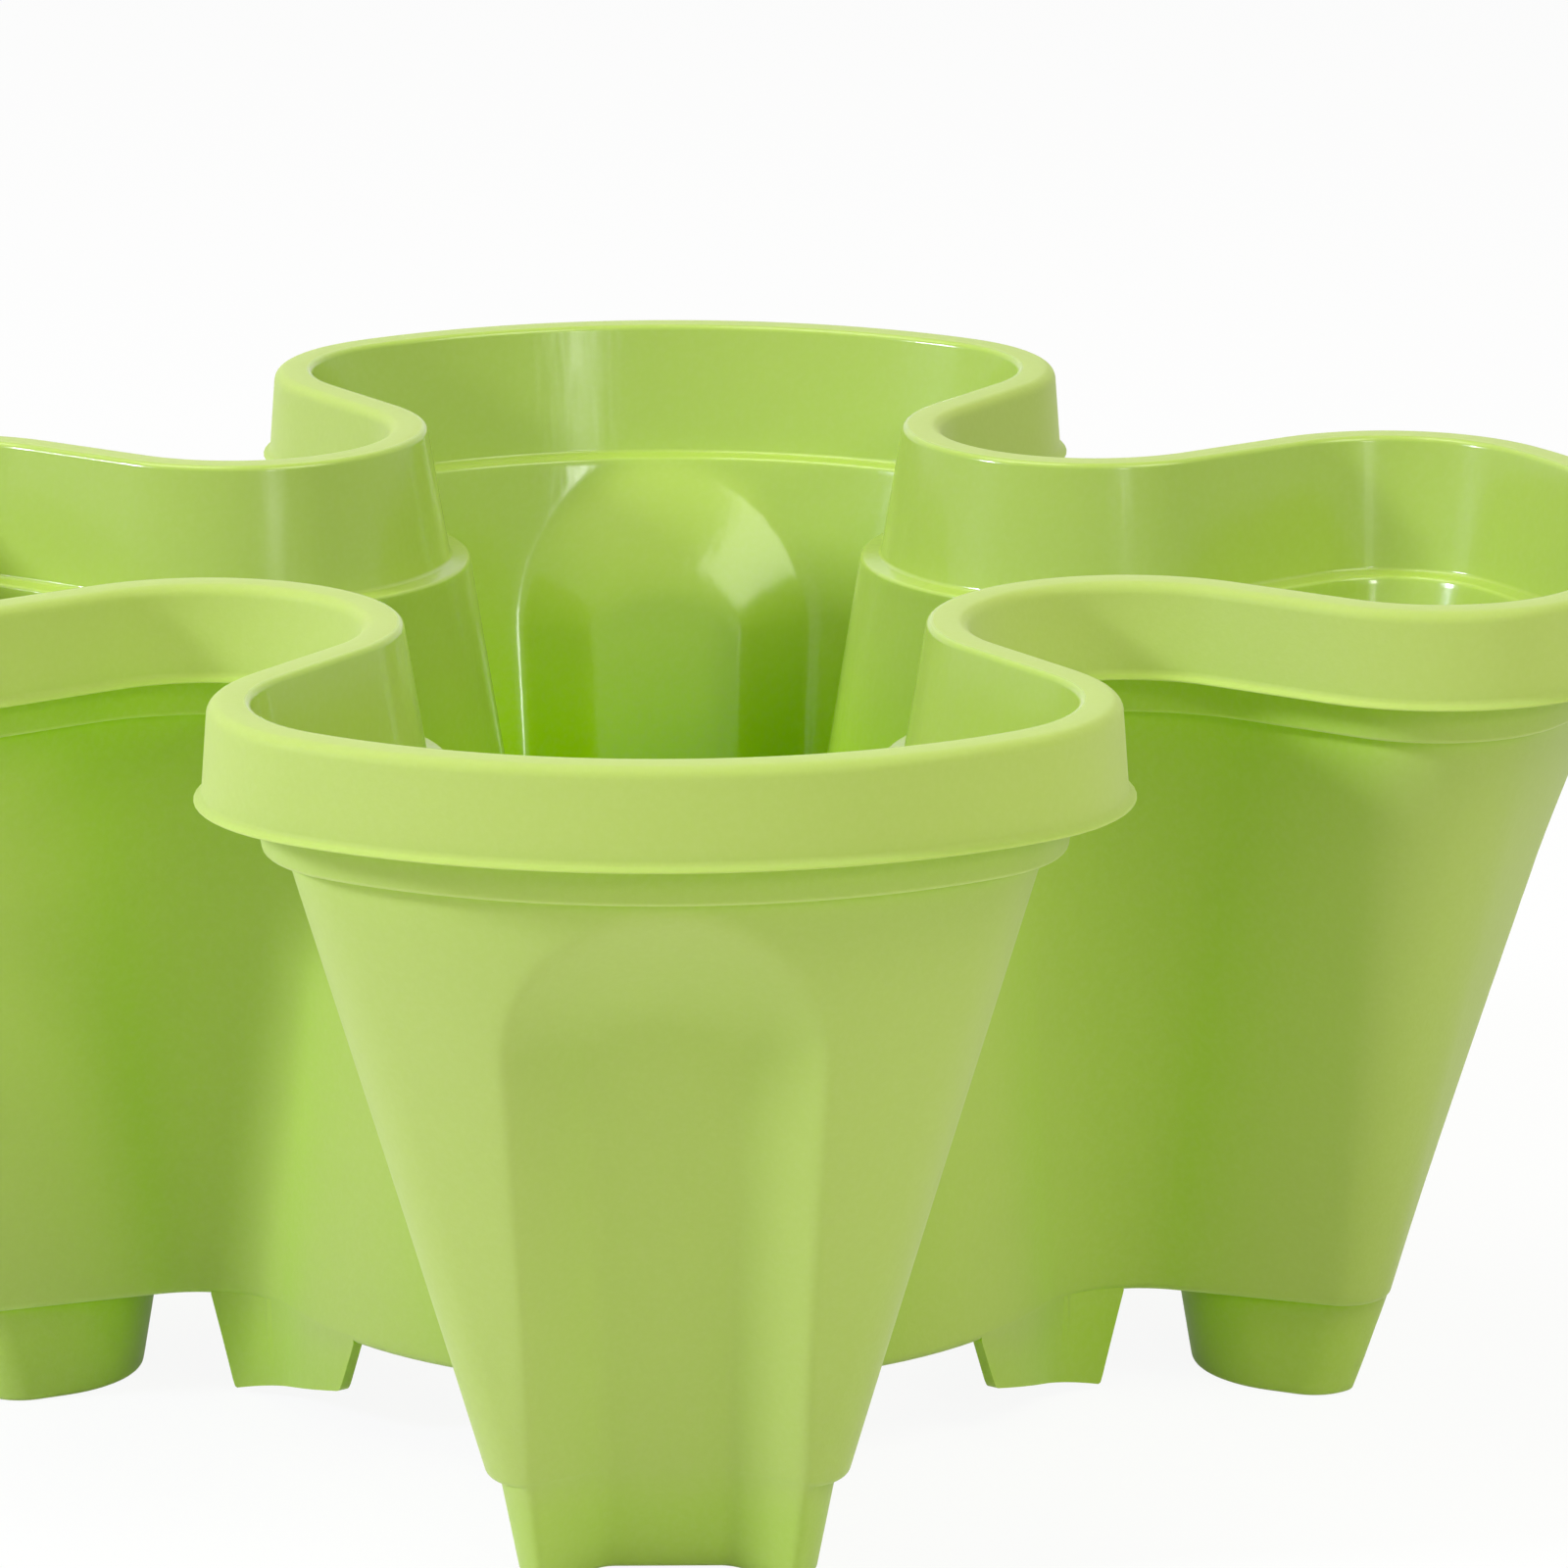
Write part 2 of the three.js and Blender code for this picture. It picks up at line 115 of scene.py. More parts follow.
# Hollow foot under each lobe.
FOOT_STEP = 2 * MM
FOOT_END_STEP = 0.25 * MM
FOOT_TAPER = 2.9 * MM
FOOT_LENGTH = 37.5 * MM
FOOT_INNER_CORNER = 20 * MM
FOOT_INNER_FLAT = 5 * MM
FOOT_INSIDE_CORNER = 2.2 * MM
FOOT_EASE = 0.9 * MM
FOOT_TUCK = 0.05 * MM
FOOT_ROOT = FLOOR * 0.6
FOOT_DRAIN_RADIUS = 3 * MM
FOOT_DRAIN_SPACING = 24 * MM

# Locating lugs under the base, beside the left and right lobes.
LUG_THICKNESS = 2 * MM
LUG_DROP_AT_VALLEY = 9.1 * MM
LUG_DROP_AT_NECK = 16.2 * MM
LUG_SIDE_TAPER = 3.9 * MM
LUG_VALLEY_GAP = 4.5 * MM
LUG_NECK_GAP = 8.4 * MM
LUG_SET_BACK = 0.25 * MM
LUG_EASE = 0.7 * MM
LUG_LOBES = (1, 3)

# Drain opening in the floor, and the grid over it.
DRAIN_RADIUS = 44 * MM
GRID_RADIUS = 50 * MM
GRID_THICKNESS = 2.4 * MM
GRID_CLEARANCE = 0.6 * MM
GRID_EASE = 0.35 * MM
REST_GAP = 0.3 * MM
COLLAR_WIDTH = 1.8 * MM
COLLAR_HEIGHT = 3 * MM
COLLAR_EASE = 0.5 * MM
SLOT_WIDTH = 4 * MM
SLOT_RING_RADIUS = 16.5 * MM
SLOT_RING_PITCH = 10 * MM
SLOT_RINGS = 3
SLOTS_PER_RING = 8
SLOT_BAR = 4 * MM
KNOB_RADIUS = 7 * MM
KNOB_WAIST_RADIUS = 5 * MM
KNOB_HEIGHT = 9 * MM
KNOB_EASE = 0.8 * MM
KNOB_WAIST_EASE = 3 * KNOB_EASE

# Fineness of the meshes: facets along half a lobe, heights between rows, and steps in a rounding.
OVERRUN = 5 * MM
VALLEY_STEPS = 24
BASE_STEPS = 6
FLANK_STEPS = 4
CORNER_STEPS = 16
END_STEPS = 44
ROW_BELOW_ARCH = 2.6 * MM
ROW_AT_ARCH = 1.1 * MM
FOOT_ROWS = 8
EASE_STEPS = 5
LUG_END_STEPS = 20
ROUND_STEPS = 128
HOLE_STEPS = 32
SLOT_STEPS = 16
HALVINGS = 26
SHARP_ANGLE = math.radians(38)
CURVE_HANDLE = 0.55

# Finishes, by their place in lime_materials.
MATTE = 0
GLOSS = 1

turn = 2 * math.pi
wall_top = TIER_HEIGHT - WALL_TOP_DEPTH
floor_top = LEDGE_HEIGHT + FLOOR
flute_spring = TIER_HEIGHT - FLUTE_SPRING_DEPTH
foot_inner_radius = LEDGE_TIP_RADIUS - FOOT_LENGTH


def lerp(a, b, share):
    return a + (b - a) * share


def eased_min(a, b, ease):
    """The lower of two surfaces, with the edge between them rounded."""
    overlap = np.maximum(ease - np.abs(a - b), 0)
    return np.minimum(a, b) - overlap ** 2 / (4 * ease)


def arc(centre, radius, start, stop, steps, hollow=False):
    """Points of an arc with their outward normals. A hollow arc's normals point to its centre."""
    angles = np.linspace(start, stop, steps + 1)
    out = np.column_stack([np.cos(angles), np.sin(angles)])
    return np.array(centre) + radius * out, -out if hollow else out


def line_on(stretch, other, steps):
    """Points and normals between the end of one stretch and the start of the next."""
    shares = np.linspace(0, 1, steps + 1)[1:-1, None]
    points = lerp(stretch[0][-1], other[0][0], shares)
    normals = lerp(stretch[1][-1], other[1][0], shares)
    return points, normals


def chained(*stretches):
    return tuple(np.concatenate(parts) for parts in zip(*stretches))


def half_lobe(tip, width, corner_radius, end_radius, valley, valley_radius, valley_stretch):
    """Half a lobe along +Y from the valley to the tip, as points with outward normals."""
    end_y = tip - end_radius
    side = width / 2 - corner_radius
    reach = end_radius - corner_radius
    corner = np.array([side, end_y + math.sqrt(reach ** 2 - side ** 2)])
    across = valley - corner
    share = min(1, (corner_radius + valley_radius) / math.hypot(*across))
    flank = math.atan2(across[1], across[0]) + math.acos(share)
    bend = math.atan2(corner[1] - end_y, corner[0])
    hollow = valley_stretch(flank)
    rounded_corner = arc(corner, corner_radius, flank, bend, CORNER_STEPS)
    straight = line_on(hollow, rounded_corner, FLANK_STEPS)
    end = arc((0, end_y), end_radius, bend, turn / 4, END_STEPS)
    return chained(hollow, straight, rounded_corner, (end[0][1:], end[1][1:]))


def rim_outline():
    """Half a lobe of the outline over the rim."""
    valley = np.array([VALLEY_CENTRE, VALLEY_CENTRE])

    def hollow(flank):
        return arc(valley, VALLEY_RADIUS, turn / 8 - turn / 2, flank - turn / 2, VALLEY_STEPS, True)

    return half_lobe(TIP_RADIUS, LOBE_WIDTH, CORNER_RADIUS, END_RADIUS, valley, VALLEY_RADIUS, hollow)


def ledge_outline():
    """Half a lobe of the outline at the ledge: a stretch of the round base, then a fillet into the neck."""
    x = NECK_WIDTH / 2 + LEDGE_FILLET
    y = math.sqrt((BASE_RADIUS + LEDGE_FILLET) ** 2 - x ** 2)
    valley = np.array([x, y])
    meet = math.atan2(y, x)

    def hollow(flank):
        base = arc((0, 0), BASE_RADIUS, turn / 8, meet, BASE_STEPS)
        steps = VALLEY_STEPS - BASE_STEPS
        fillet = arc(valley, LEDGE_FILLET, meet - turn / 2, flank - turn / 2, steps, True)
        return chained(base, (fillet[0][1:], fillet[1][1:]))

    return half_lobe(LEDGE_TIP_RADIUS, LEDGE_LOBE_WIDTH, LEDGE_CORNER_RADIUS, LEDGE_END_RADIUS, valley,
                     LEDGE_FILLET, hollow)


rim_points, rim_normals = rim_outline()
ledge_points, ledge_normals = ledge_outline()


def ledge_share(z):
    return (wall_top - z) / (wall_top - LEDGE_HEIGHT)


def tip_at(z):
    """Distance of the wall's tip from the middle at height z."""
    return lerp(TIP_RADIUS - WALL_INSET, LEDGE_TIP_RADIUS, ledge_share(z))


def flute_depth(x, z, grown, floor_ease):
    """Depth of a flute behind the line of the lobe's tip, at x across the lobe and height z. Its sides close
    in with depth, so the depth whose sides just reach x is found by halving."""
    shallow = np.full_like(x, -FLUTE_DEPTH)
    deep = np.full_like(x, FLUTE_DEPTH * FLUTE_REACH_SHARE)
    for _ in range(HALVINGS):
        depth = (shallow + deep) / 2
        share = (depth - FLUTE_EDGE_DEPTH) / (FLUTE_DEPTH - FLUTE_EDGE_DEPTH)
        half = lerp(FLUTE_WIDTH, FLUTE_FLOOR_WIDTH, share) / 2 + grown
        if z < flute_spring:
            foot = lerp(FLUTE_WIDTH_AT_FOOT, FLUTE_FLOOR_WIDTH_AT_FOOT, share) / 2 + grown
            height = (z + FLUTE_RUN_BELOW) / (flute_spring + FLUTE_RUN_BELOW)
            reach = np.abs(x) / lerp(foot, half, height)
        else:
            rise = FLUTE_SPRING_DEPTH - FLUTE_ARCH_DEPTH
            arch = lerp(rise, FLUTE_FLOOR_ARCH, depth / FLUTE_DEPTH) + grown
            reach = np.hypot(x / half, (z - flute_spring) / arch)
        deep = np.where(reach > 1, depth, deep)
        shallow = np.where(reach > 1, shallow, depth)
    softening = max(z - flute_spring, 0) * FLUTE_SOFTENING_SHARE
    return eased_min((shallow + deep) / 2, FLUTE_DEPTH, floor_ease + softening)


def fluted(points, z, skin, eases):
    """Points of a lobe's end moved back to its flute, which stands off by the skin's thickness inside."""
    edge_ease, floor_ease = eases
    flute = tip_at(z) - flute_depth(points[:, 0], z, skin * FLUTE_SKIN_SHARE, floor_ease) - skin
    return np.column_stack([points[:, 0], eased_min(points[:, 1], flute, edge_ease)])


def around(half, z):
    """A whole ring at height z, from half of one lobe."""
    mirrored = half[-2:0:-1] * np.array([-1, 1])
    lobe = np.concatenate([half, mirrored])
    rings = []
    for k in range(LOBES):
        angle = turn * k / LOBES
        spin = np.array([[math.cos(angle), math.sin(angle)], [-math.sin(angle), math.cos(angle)]])
        rings.append(lobe @ spin)
    flat = np.concatenate(rings)
    return np.column_stack([flat, np.full(len(flat), z)])


def wall_ring(z, inset=0.0, eases=FLUTE_EASES):
    """The wall at height z, set in from its outer face by inset, with the flutes pressed into its lobes."""
    upper = rim_points - rim_normals * (WALL_INSET + inset)
    lower = ledge_points - ledge_normals * inset
    return around(fluted(lerp(upper, lower, ledge_share(z)), z, inset, eases), z)


def rim_ring(inset, depth):
    return around(rim_points - rim_normals * inset, TIER_HEIGHT - depth)


def rounded(corners, steps=EASE_STEPS):
    """Rings through a list of (ring, ease), where a ring with ease becomes a rounding of that reach."""
    rings = []
    for i, (ring, ease) in enumerate(corners):
        if not ease:
            rings.append(ring)
            continue
        before = corners[i - 1][0] - ring
        after = corners[i + 1][0] - ring
        start = ring + before * (ease / np.linalg.norm(before, axis=1, keepdims=True))
        stop = ring + after * (ease / np.linalg.norm(after, axis=1, keepdims=True))
        for share in np.linspace(0, 1, steps + 1):
            handle_a = lerp(start, ring, CURVE_HANDLE)
            handle_b = lerp(stop, ring, CURVE_HANDLE)
            rest = 1 - share
            rings.append(rest ** 3 * start + 3 * rest ** 2 * share * handle_a
                         + 3 * rest * share ** 2 * handle_b + share ** 3 * stop)
    return rings


def new_object(name, mesh):
    made = bpy.data.objects.new(name, mesh)
    bpy.context.scene.collection.objects.link(made)
    return made


def meshed(name, points, faces, finishes):
    """A new object from points and faces, with the finish of each face."""
    mesh = bpy.data.meshes.new(name)
    mesh.from_pydata(points, [], faces)
    for material in lime_materials:
        mesh.materials.append(material)
    mesh.polygons.foreach_set("material_index", finishes)
    return new_object(name, mesh)


def loft(name, rings, finishes=MATTE):
    """A closed mesh through rings of equal length, with its first and last ring filled. finishes gives the
    material of each strip between two rings, or one for all."""
    count = len(rings[0])
    here = np.arange(count)
    onward = (here + 1) % count
    strips = [np.column_stack([here, onward, onward + count, here + count]) + r * count
              for r in range(len(rings) - 1)]
    last = (len(rings) - 1) * count
    faces = np.concatenate(strips).tolist() + [here[::-1].tolist(), (here + last).tolist()]
    if np.isscalar(finishes):
        finishes = [finishes] * (len(rings) - 1)
    by_face = np.concatenate([np.repeat(finishes, count), [finishes[0], finishes[-1]]])
    return meshed(name, np.concatenate(rings).tolist(), faces, by_face.tolist())


def round_ring(radius, z, steps=ROUND_STEPS):
    angles = np.linspace(0, turn, steps, endpoint=False)
    return np.column_stack([radius * np.cos(angles), radius * np.sin(angles), np.full(steps, z)])


def post(name, radius, low, high, finish=MATTE, steps=ROUND_STEPS, at=(0, 0)):
    offset = np.array([at[0], at[1], 0])
    return loft(name, [round_ring(radius, low, steps) + offset, round_ring(radius, high, steps) + offset],
                finish)


def baked(piece):
    """The piece with its modifiers made part of its mesh."""
    graph = bpy.context.evaluated_depsgraph_get()
    mesh = bpy.data.meshes.new_from_object(piece.evaluated_get(graph))
    piece.modifiers.clear()
    piece.data = mesh
    return piece


def combined(base, operation, *tools):
    """base joined with, or cut by, each of the tools, which are used up."""
    for tool in tools:
        step = base.modifiers.new(operation.lower(), "BOOLEAN")
        step.solver = "MANIFOLD"
        step.operation = operation
        step.object = tool
    baked(base)
    for tool in tools:
        bpy.data.objects.remove(tool)
    return base


def gathered(name, pieces):
    """Several separate closed pieces as one."""
    points = []
    faces = []
    finishes = []
    for piece in pieces:
        start = len(points)
        points.extend([v.co[:] for v in piece.data.vertices])
        faces.extend([[start + i for i in p.vertices] for p in piece.data.polygons])
        finishes.extend([p.material_index for p in piece.data.polygons])
    for piece in pieces:
        bpy.data.objects.remove(piece)
    return meshed(name, points, faces, finishes)


def quarter_turned(piece, k):
    piece.data.transform(Matrix.Rotation(turn * k / LOBES, 4, "Z"))
    return piece


def mirrored_copy(piece):
    copy = new_object(piece.name + "_mirrored", piece.data.copy())
    copy.data.transform(Matrix.Scale(-1, 4, (1, 0, 0)))
    copy.data.flip_normals()
    return copy


def smoothed(piece):
    piece.data.shade_smooth()
    piece.data.set_sharp_from_angle(angle=SHARP_ANGLE)
    return piece


def heights(low, high, pitch):
    return np.linspace(low, high, max(2, math.ceil((high - low) / pitch) + 1))


def shell():
    """The tub's skin: up the outside of the wall, round the skirt and over the rim, then down the inside."""
    band_top = RIM_TOP_WIDTH - WALL
    bead_top = SKIRT_DEPTH - BEAD_HEIGHT
    flare = -SKIRT_FLARE
    outer = [(wall_ring(LEDGE_HEIGHT, LEDGE_EASE), 0), (wall_ring(LEDGE_HEIGHT), LEDGE_EASE)]
    outer += [(wall_ring(z), 0) for z in heights(LEDGE_HEIGHT + 2 * LEDGE_EASE, flute_spring, ROW_BELOW_ARCH)]
    outer += [(wall_ring(z), 0) for z in heights(flute_spring, wall_top - SHOULDER_EASE, ROW_AT_ARCH)[1:]]
    rim = [
        (rim_ring(WALL_INSET, WALL_TOP_DEPTH), WALL_TOP_EASE),
        (rim_ring(BAND_INSET, SHOULDER_DEPTH), SHOULDER_EASE),
        (rim_ring(band_top, WALL), BEAD_EASE),
        (rim_ring(WALL, WALL), BEAD_EASE),
        (rim_ring(WALL + flare + BEAD_STEP, bead_top), BEAD_EASE),
        (rim_ring(WALL + flare, SKIRT_DEPTH), BEAD_EASE),
        (rim_ring(flare, SKIRT_DEPTH), BEAD_EASE),
        (rim_ring(flare + BEAD_FACE_STEP, SKIRT_DEPTH - BEAD_FACE), BEAD_EASE),
        (rim_ring(flare + BEAD_STEP, bead_top), BEAD_HOLLOW_EASE),
        (rim_ring(0, 0), RIM_OUTER_EASE),
    ]
    inner = [
        (rim_ring(RIM_TOP_WIDTH, 0), RIM_INNER_EASE),
        (rim_ring(BAND_INSET + WALL, INNER_LEDGE_DEPTH - INNER_LEDGE_SLOPE), INNER_LEDGE_EASE),
    ]
    ledge = TIER_HEIGHT - INNER_LEDGE_DEPTH
    inner += [(wall_ring(ledge, WALL, BULGE_EASES), INNER_LEDGE_EASE)]
    inner += [(wall_ring(z, WALL, BULGE_EASES), 0)
              for z in heights(flute_spring, ledge - 2 * SHOULDER_EASE, ROW_AT_ARCH)[::-1]]
    inner += [(wall_ring(z, WALL, BULGE_EASES), 0)
              for z in heights(floor_top, flute_spring, ROW_BELOW_ARCH)[-2::-1]]
    outside = sum(EASE_STEPS + 1 if ease else 1 for _, ease in outer + rim)
    rings = rounded(outer + rim + inner)
    finishes = [MATTE] * outside + [GLOSS] * (len(rings) - 1 - outside)
    return loft("planter_tier_shell", rings, finishes)


def foot_ring(z, inset=0.0):
    """A foot's outline under the lobe along +Y: round inner end, flanks, round corners and fluted end."""
    lean = FOOT_TAPER * (LEDGE_HEIGHT - z) / LEDGE_HEIGHT
    end_radius = LEDGE_END_RADIUS - inset
    corner_radius = max(LEDGE_CORNER_RADIUS - inset, FOOT_INSIDE_CORNER)
    inner_radius = FOOT_INNER_CORNER - inset
    end_y = tip_at(z) - FOOT_END_STEP - inset - end_radius
    side = LEDGE_LOBE_WIDTH / 2 - FOOT_STEP - lean - inset - corner_radius
    reach = end_radius - corner_radius
    corner = np.array([side, end_y + math.sqrt(reach ** 2 - side ** 2)])
    inner = np.array([FOOT_INNER_FLAT / 2, foot_inner_radius + lean + FOOT_INNER_CORNER])
    across = corner - inner
    flank = math.atan2(across[1], across[0]) - math.acos((inner_radius - corner_radius) / math.hypot(*across))
    bend = math.atan2(corner[1] - end_y, corner[0])
    inner_end = arc(inner, inner_radius, -turn / 4, flank, CORNER_STEPS)
    outer_corner = arc(corner, corner_radius, flank, bend, CORNER_STEPS)
    end = arc((0, end_y), end_radius, bend, turn / 4, END_STEPS)
    half = chained(inner_end, outer_corner, (end[0][1:], end[1][1:]))[0]
    outline = fluted(half, z, inset + FOOT_TUCK, FLUTE_EASES)
    mirrored = outline[-2::-1] * np.array([-1, 1])
    flat = np.concatenate([outline, mirrored])
    return np.column_stack([flat, np.full(len(flat), z)])


def foot(k):
    """The outer form of the foot under lobe k, rounded along its bottom edge."""
    top = LEDGE_HEIGHT + FOOT_ROOT
    corners = [(foot_ring(0, 2 * FOOT_EASE), 0), (foot_ring(0), FOOT_EASE)]
    corners += [(foot_ring(z), 0) for z in np.linspace(2 * FOOT_EASE, top, FOOT_ROWS)]
    return quarter_turned(loft("foot_" + str(k), rounded(corners)), k)


def pocket(k):
    """The hollow inside the foot under lobe k."""
    top = floor_top + WALL / 2
    corners = [(foot_ring(WALL, WALL + 2 * FOOT_EASE), 0), (foot_ring(WALL, WALL), FOOT_EASE)]
    corners += [(foot_ring(z, WALL), 0) for z in np.linspace(WALL + 2 * FOOT_EASE, top, FOOT_ROWS)]
    return quarter_turned(loft("pocket_" + str(k), rounded(corners), GLOSS), k)


def foot_drains(k):
    """Two drain holes through the bottom of the foot under lobe k."""
    row = (foot_inner_radius + LEDGE_TIP_RADIUS - FLUTE_DEPTH) / 2 - FOOT_TAPER
    pair = [post("drain", FOOT_DRAIN_RADIUS, -OVERRUN, WALL + OVERRUN, GLOSS, HOLE_STEPS,
                 (side * FOOT_DRAIN_SPACING / 2, row)) for side in (-1, 1)]
    return quarter_turned(gathered("drains_" + str(k), pair), k)


def lug():
    """A locating lug: it follows the base's outline from the valley to the neck, with slanting ends."""
    path = ledge_points[:VALLEY_STEPS + 1]
    normals = ledge_normals[:VALLEY_STEPS + 1]
    lengths = np.concatenate([[0], np.cumsum(np.linalg.norm(np.diff(path, axis=0), axis=1))])
    start = LUG_VALLEY_GAP
    stop = lengths[-1] - LUG_NECK_GAP
    top = LEDGE_HEIGHT + FLOOR / 2
    stations = np.concatenate([
        np.linspace(start, start + 2 * LUG_SIDE_TAPER, LUG_END_STEPS, endpoint=False),
        np.linspace(start + 2 * LUG_SIDE_TAPER, stop - 2 * LUG_SIDE_TAPER, VALLEY_STEPS, endpoint=False),
        np.linspace(stop - 2 * LUG_SIDE_TAPER, stop, LUG_END_STEPS + 1),
    ])
    first = start + LUG_SIDE_TAPER
    last = stop - LUG_SIDE_TAPER
    share = (stations - first) / (last - first)
    slanting = lerp(LUG_DROP_AT_VALLEY, LUG_DROP_AT_NECK, share)
    valley_end = (stations - start) * (LUG_DROP_AT_VALLEY / LUG_SIDE_TAPER)
    neck_end = (stop - stations) * (LUG_DROP_AT_NECK / LUG_SIDE_TAPER)
    drop = eased_min(eased_min(slanting, valley_end, 2 * LUG_EASE), neck_end, 2 * LUG_EASE)
    drop = np.maximum(drop, 0)
    at = np.column_stack([np.interp(stations, lengths, path[:, i]) for i in (0, 1)])
    out = np.column_stack([np.interp(stations, lengths, normals[:, i]) for i in (0, 1)])
    out /= np.linalg.norm(out, axis=1, keepdims=True)
    face = at - out * LUG_SET_BACK
    back = at - out * (LUG_SET_BACK + LUG_THICKNESS)
    rings = [np.array([[*b, LEDGE_HEIGHT - d], [*b, top], [*f, top], [*f, LEDGE_HEIGHT - d]])
             for b, f, d in zip(back, face, drop)]
    return loft("lug", rings)


def lugs():
    """A pair of lugs beside the left lobe and a pair beside the right."""
    pieces = []
    for k in LUG_LOBES:
        beside = lug()
        other = mirrored_copy(beside)
        pieces += [quarter_turned(beside, k), quarter_turned(other, k)]
    return gathered("lugs", pieces)


def ring_wall(name, inner, outer, low, high, ease, finish):
    """An upright ring with a rounded top, as a closed band."""
    corners = [(round_ring(inner, low), 0), (round_ring(inner, high), ease), (round_ring(outer, high), ease),
               (round_ring(outer, low), 0)]
    rings = rounded(corners)
    count = len(rings[0])
    here = np.arange(count)
    onward = (here + 1) % count
    faces = []
    for r in range(len(rings)):
        a = r * count
        b = (r + 1) % len(rings) * count
        faces.extend(np.column_stack([a + here, b + here, b + onward, a + onward]).tolist())
    return meshed(name, np.concatenate(rings).tolist(), faces, [finish] * len(faces))


def collar():
    """The low ring on the floor that the grid drops into."""
    inner = GRID_RADIUS + GRID_CLEARANCE
    return ring_wall("collar", inner, inner + COLLAR_WIDTH, LEDGE_HEIGHT + FLOOR / 2,
                     floor_top + COLLAR_HEIGHT, COLLAR_EASE, GLOSS)


def planter_tier():
    """The whole moulding: skin, feet with their hollows, lugs, collar and drain openings."""
    tub = shell()
    feet = gathered("feet", [foot(k) for k in range(LOBES)])
    pockets = gathered("pockets", [pocket(k) for k in range(LOBES)])
    drains = gathered("foot_drains", [foot_drains(k) for k in range(LOBES)])
    combined(tub, "UNION", feet)
    combined(tub, "DIFFERENCE", pockets)
    combined(tub, "UNION", lugs(), collar())
    opening = post("drain_opening", DRAIN_RADIUS, -OVERRUN, TIER_HEIGHT / 2)
    combined(tub, "DIFFERENCE", opening, drains)
    smoothed(tub)
    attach(tub, "tub")
    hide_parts("planter_tier")
    return tub


def slot_cutter(radius, start, sweep, low, high):
    """The space of one curved slot with round ends."""
    half = SLOT_WIDTH / 2
    outer = arc((0, 0), radius + half, start, start + sweep, SLOT_STEPS)[0]
    inner = arc((0, 0), radius - half, start + sweep, start, SLOT_STEPS)[0]
    flat = np.concatenate([outer, inner])
    rings = [np.column_stack([flat, np.full(len(flat), z)]) for z in (low, high)]
    return loft("slot", rings)


def drain_grid():
    """The slotted disc with the waisted knob that it is lifted by."""
    bottom = floor_top + REST_GAP
    top = bottom + GRID_THICKNESS
    rim = GRID_RADIUS - 2 * GRID_EASE
    grid = loft("drain_grid_moulded", rounded([
        (round_ring(rim, bottom), 0),
        (round_ring(GRID_RADIUS, bottom), GRID_EASE),
        (round_ring(GRID_RADIUS, top), GRID_EASE),
        (round_ring(rim, top), 0),
    ]))
    slots = []
    for row in range(SLOT_RINGS):
        radius = SLOT_RING_RADIUS + row * SLOT_RING_PITCH
        sweep = turn / SLOTS_PER_RING - SLOT_BAR / radius
        for i in range(SLOTS_PER_RING):
            start = turn * i / SLOTS_PER_RING - sweep / 2
            slots.append(slot_cutter(radius, start, sweep, bottom - OVERRUN, top + OVERRUN))
    combined(grid, "DIFFERENCE", gathered("slots", slots))
    foot_of_knob = top - GRID_THICKNESS / 2
    combined(grid, "UNION", loft("knob", rounded([
        (round_ring(KNOB_RADIUS / 2, foot_of_knob), 0),
        (round_ring(KNOB_RADIUS, foot_of_knob), 0),
        (round_ring(KNOB_WAIST_RADIUS, foot_of_knob + KNOB_HEIGHT / 2), KNOB_WAIST_EASE),
        (round_ring(KNOB_RADIUS, foot_of_knob + KNOB_HEIGHT), KNOB_EASE),
        (round_ring(KNOB_RADIUS / 2, foot_of_knob + KNOB_HEIGHT), 0),
    ])))
    smoothed(grid)
    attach(grid, "grid")
    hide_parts("drain_grid")
    return grid


class Wire:
    """A value or colour in a node tree. Sums, differences, products and quotients add their Math nodes."""

    def __init__(self, tree, socket=None):
        self.tree = tree
        self.socket = socket

    def node(self, kind, settings=None, sockets=None, output=0):
        """Adds a node of any kind: first its settings, then the values or links of its sockets."""
        added = self.tree.nodes.new(kind)
        for name, value in (settings or {}).items():
            setattr(added, name, value)
        for name, value in (sockets or {}).items():
            if isinstance(value, Wire):
                self.tree.links.new(value.socket, added.inputs[name])
            else:
                added.inputs[name].default_value = value
        return Wire(self.tree, added.outputs[output] if added.outputs else None)

    def maths(self, operation, first, second):
        return self.node("ShaderNodeMath", {"operation": operation}, {0: first, 1: second})

    def __add__(self, other):
        return self.maths("ADD", self, other)

    __radd__ = __add__

    def __sub__(self, other):
        return self.maths("SUBTRACT", self, other)

    def __rsub__(self, other):
        return self.maths("SUBTRACT", other, self)

    def __mul__(self, other):
        return self.maths("MULTIPLY", self, other)

    __rmul__ = __mul__

    def __truediv__(self, other):
        return self.maths("DIVIDE", self, other)

    def __rtruediv__(self, other):
        return self.maths("DIVIDE", other, self)

    def within(self, low, high):
        """0 below low, 1 above high, and smooth between."""
        settings = {"interpolation_type": "SMOOTHSTEP"}
        return self.node("ShaderNodeMapRange", settings, {"Value": self, "From Min": low, "From Max": high})

    def mixed(self, colour, other):
        """colour where this value is 0, other where it is 1."""
        sockets = {0: self, 6: colour, 7: other}
        return self.node("ShaderNodeMix", {"data_type": "RGBA"}, sockets, output=2)


def new_material(name):
    material = bpy.data.materials.new(name)
    material.use_nodes = True
    material.node_tree.nodes.clear()
    return material, Wire(material.node_tree)


def place_on(wire):
    """Where a point lies on the part at rest, in metres."""
    return wire.node("ShaderNodeTexCoord", output=3)


def noise(wire, scale, detail, roughness=0.5, at=None):
    sockets = {"Vector": at or place_on(wire), "Scale": scale, "Detail": detail, "Roughness": roughness}
    return wire.node("ShaderNodeTexNoise", None, sockets)


